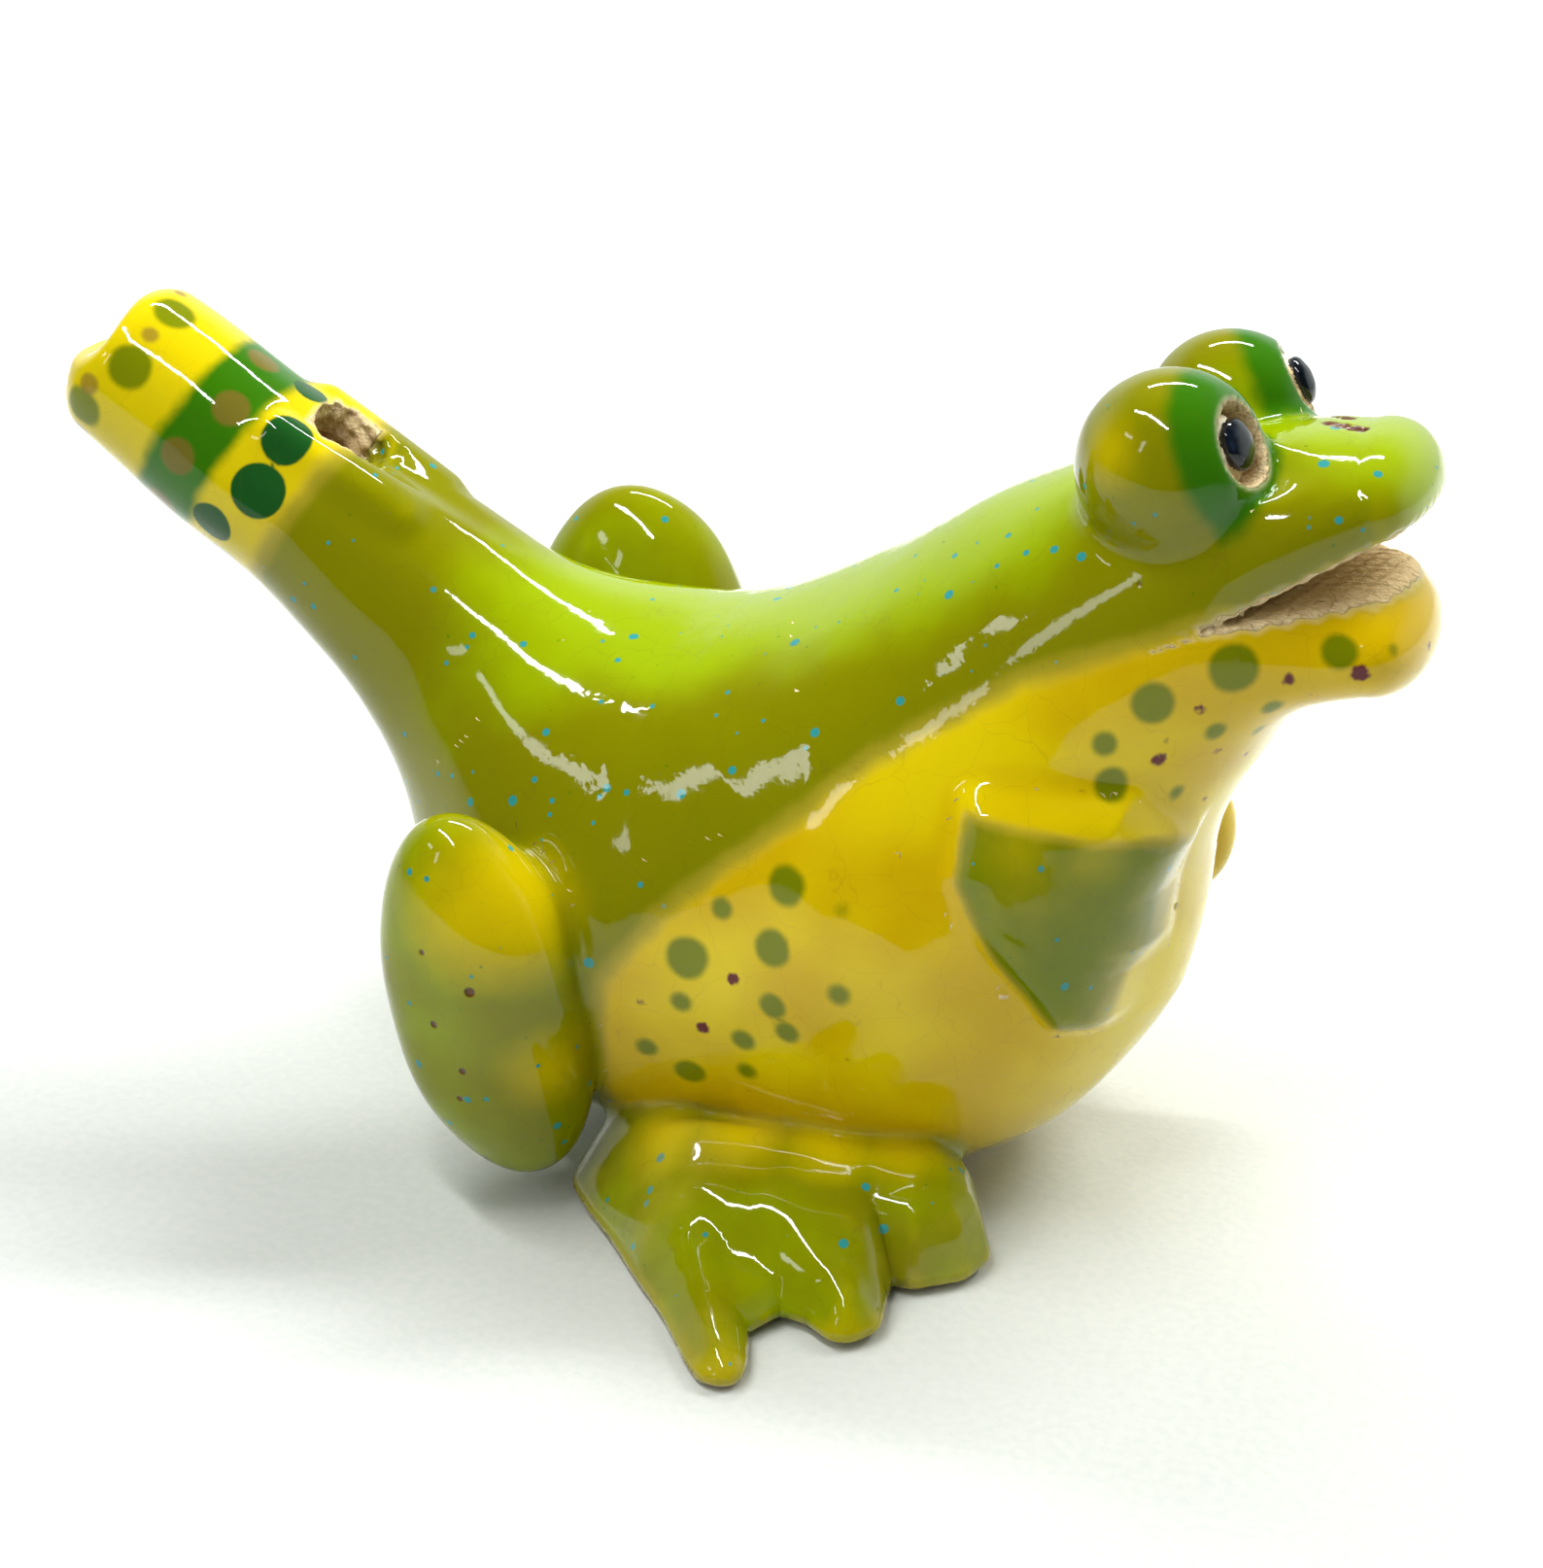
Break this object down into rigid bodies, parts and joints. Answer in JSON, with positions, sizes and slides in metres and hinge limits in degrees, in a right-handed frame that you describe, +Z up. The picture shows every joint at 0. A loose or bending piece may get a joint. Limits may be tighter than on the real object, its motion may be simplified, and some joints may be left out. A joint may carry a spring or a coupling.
{
  "type": "clay frog whistle",
  "caption": "Hand-built glazed clay whistle in the shape of an open-mouthed frog: hollow belly, and a raised tail with a blow slot and window as the mouthpiece.",
  "frame": {"origin": "on the flat resting face under the belly, on the middle plane", "axes": "+X towards the snout, +Y to the frog's left, +Z up"},
  "size_m": [0.1047, 0.0806, 0.064],
  "materials": {
    "green_glaze": "thick glossy translucent lime to olive glaze with turquoise specks and pinholes",
    "yellow_glaze": "glossy golden yellow glaze with olive and burgundy spots",
    "banded_glaze": "glossy glaze in soft bands of yellow and green with green and salmon spots",
    "cream_glaze": "cream glaze",
    "black_glaze": "glossy black glaze"
  },
  "bodies": {
    "root": {"back_shell": "green_glaze", "belly_shell": "yellow_glaze", "mouthpiece": "banded_glaze", "head": "green_glaze", "lower_jaw": "yellow_glaze", "eye_mound_right": "green_glaze", "eye_mound_left": "green_glaze", "eyeball_right": "cream_glaze", "eyeball_left": "cream_glaze", "pupil_right": "black_glaze", "pupil_left": "black_glaze", "thigh_right": "green_glaze", "thigh_left": "green_glaze", "foot_right": "green_glaze", "foot_left": "green_glaze", "arm_right": "green_glaze", "arm_left": "green_glaze"}
  },
  "joints": []
}
